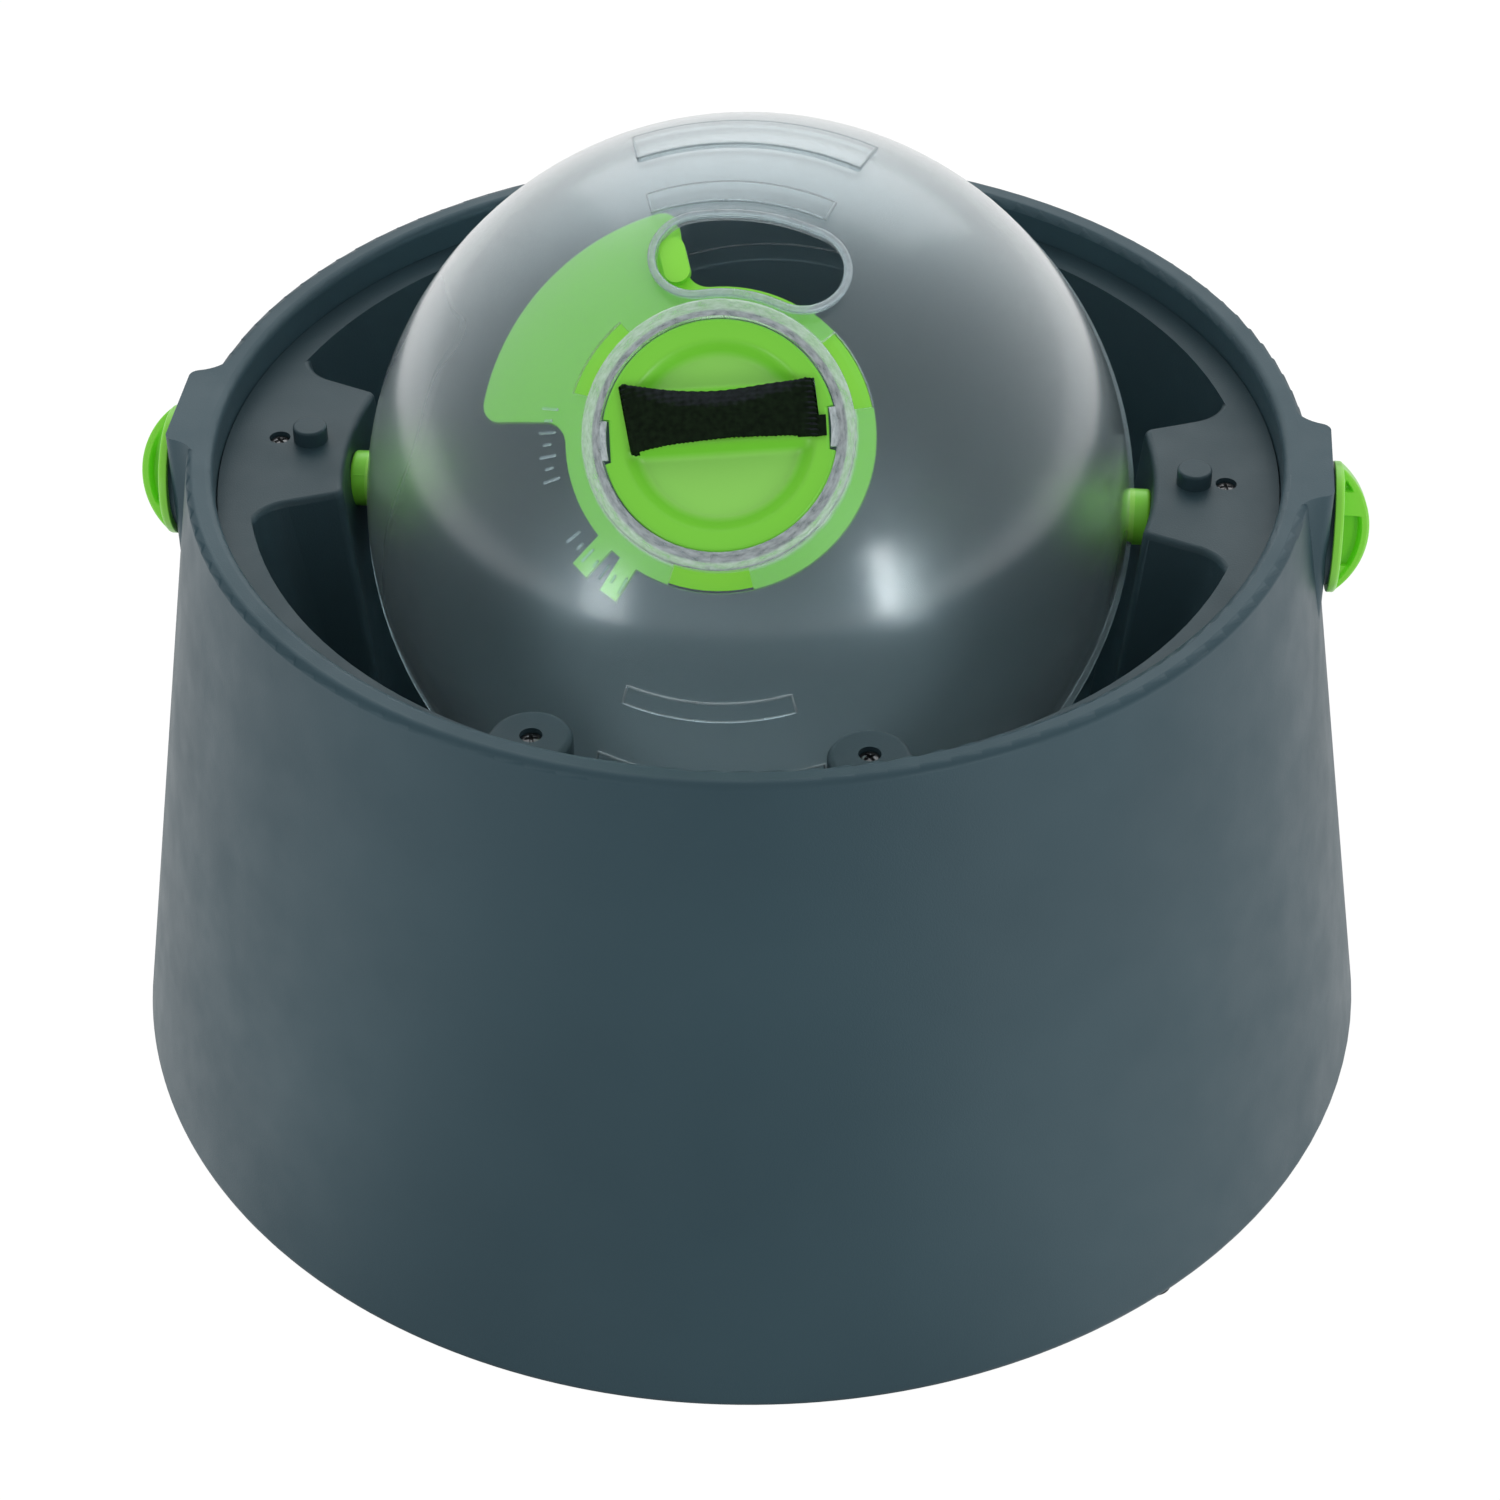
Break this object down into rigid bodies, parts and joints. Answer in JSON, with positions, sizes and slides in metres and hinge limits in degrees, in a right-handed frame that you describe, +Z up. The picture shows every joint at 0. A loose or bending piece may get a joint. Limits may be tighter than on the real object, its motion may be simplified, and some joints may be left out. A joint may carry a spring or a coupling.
{
  "type": "rotating slow feeder",
  "caption": "Pet slow feeder: a clear treat ball with a capped neck and a shuttered slot turns on two pull-out pins in a bowl hung in a conical casing.",
  "frame": {"origin": "on the ground, under the middle of the bowl", "axes": "+X along the axle towards the right-hand pin, -Y towards the front where the ball's neck leans, +Z up"},
  "size_m": [0.296, 0.296, 0.2254],
  "materials": {
    "grey_plastic": "fine matt dark blue-grey",
    "clear_plastic": "clear, slightly milky",
    "green_plastic": "satin bright green",
    "screw_steel": "plain steel",
    "foot_rubber": "black rubber",
    "seal_rubber": "translucent grey silicone",
    "webbing": "black ribbed webbing"
  },
  "bodies": {
    "base": {"outer_casing": "grey_plastic", "inner_bowl": "grey_plastic", "bowl_screw_1": "screw_steel", "bowl_screw_2": "screw_steel", "bowl_screw_3": "screw_steel", "bowl_screw_4": "screw_steel", "bowl_screw_5": "screw_steel", "bowl_screw_6": "screw_steel", "foot_1": "foot_rubber", "foot_2": "foot_rubber", "foot_3": "foot_rubber", "foot_4": "foot_rubber"},
    "ball": {"ball_front": "clear_plastic", "ball_back": "clear_plastic", "hub_right": "green_plastic", "hub_left": "green_plastic"},
    "shutter": {"shutter": "green_plastic"},
    "cap_carrier": {"cap_seal": "seal_rubber"},
    "cap": {"cap": "green_plastic", "cap_strap": "webbing"},
    "pin_right": {"pin_right": "green_plastic"},
    "pin_left": {"pin_left": "green_plastic"}
  },
  "joints": [
    {"name": "ball_spin", "type": "hinge", "parent": "base", "child": "ball", "pos_m": [0, 0, 0.1396], "axis": [1, 0, 0], "continuous": true},
    {"name": "shutter_turn", "type": "hinge", "parent": "ball", "child": "shutter", "pos_m": [0, 0, 0.1396], "axis": [0, -0.7254, 0.6884], "range_deg": [-47, 0]},
    {"name": "cap_lift", "type": "slide", "parent": "ball", "child": "cap_carrier", "axis": [0, -0.7254, 0.6884], "range_m": [0, 0.06]},
    {"name": "cap_turn", "type": "hinge", "parent": "cap_carrier", "child": "cap", "pos_m": [0, 0, 0.1396], "axis": [0, -0.7254, 0.6884], "range_deg": [0, 90]},
    {"name": "pin_right_pull", "type": "slide", "parent": "base", "child": "pin_right", "axis": [1, 0, 0], "range_m": [0, 0.06]},
    {"name": "pin_left_pull", "type": "slide", "parent": "base", "child": "pin_left", "axis": [-1, 0, 0], "range_m": [0, 0.06]}
  ]
}
